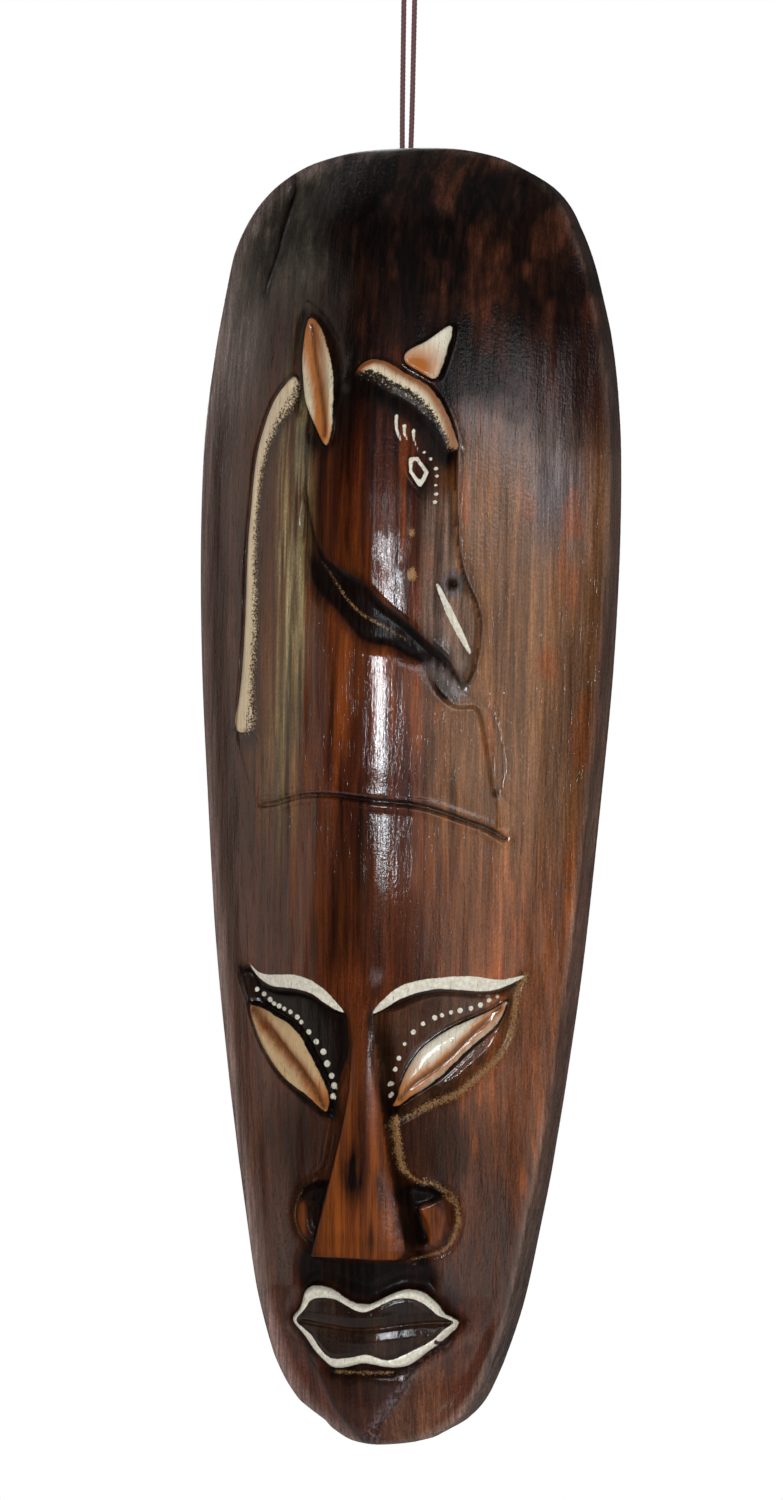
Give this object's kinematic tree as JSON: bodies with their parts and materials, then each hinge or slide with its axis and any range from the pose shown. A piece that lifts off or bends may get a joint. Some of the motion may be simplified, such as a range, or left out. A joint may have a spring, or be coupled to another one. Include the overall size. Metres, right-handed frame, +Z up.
{
  "type": "carved wall mask",
  "caption": "Hand-carved wooden wall mask, a horse's head in relief over a long stylised face, hollow behind and hung by a doubled cord.",
  "frame": {"origin": "inner top of the hanging cord's loop, where the wall nail goes", "axes": "+Z up along the mask's length, the carved front faces -Y and the wall is at +Y, +X to the viewer's right"},
  "size_m": [0.165, 0.0766, 0.5721],
  "materials": {
    "carved_wood": "stained, hand-painted and varnished light wood, near-black at the crown and brown-orange below",
    "screw_steel": "plain zinc-plated steel wire",
    "cord_fibre": "dark maroon-brown twisted cotton cord"
  },
  "bodies": {
    "hanger": {"hanging_cord": "cord_fibre", "cord_knot": "cord_fibre"},
    "mask": {"mask_body": "carved_wood", "screw_eye": "screw_steel"}
  },
  "joints": [
    {"name": "mask_tilt", "type": "hinge", "parent": "hanger", "child": "mask", "pos_m": [0, 0, -0.082], "axis": [-1, 0, 0], "range_deg": [0, 20]}
  ]
}
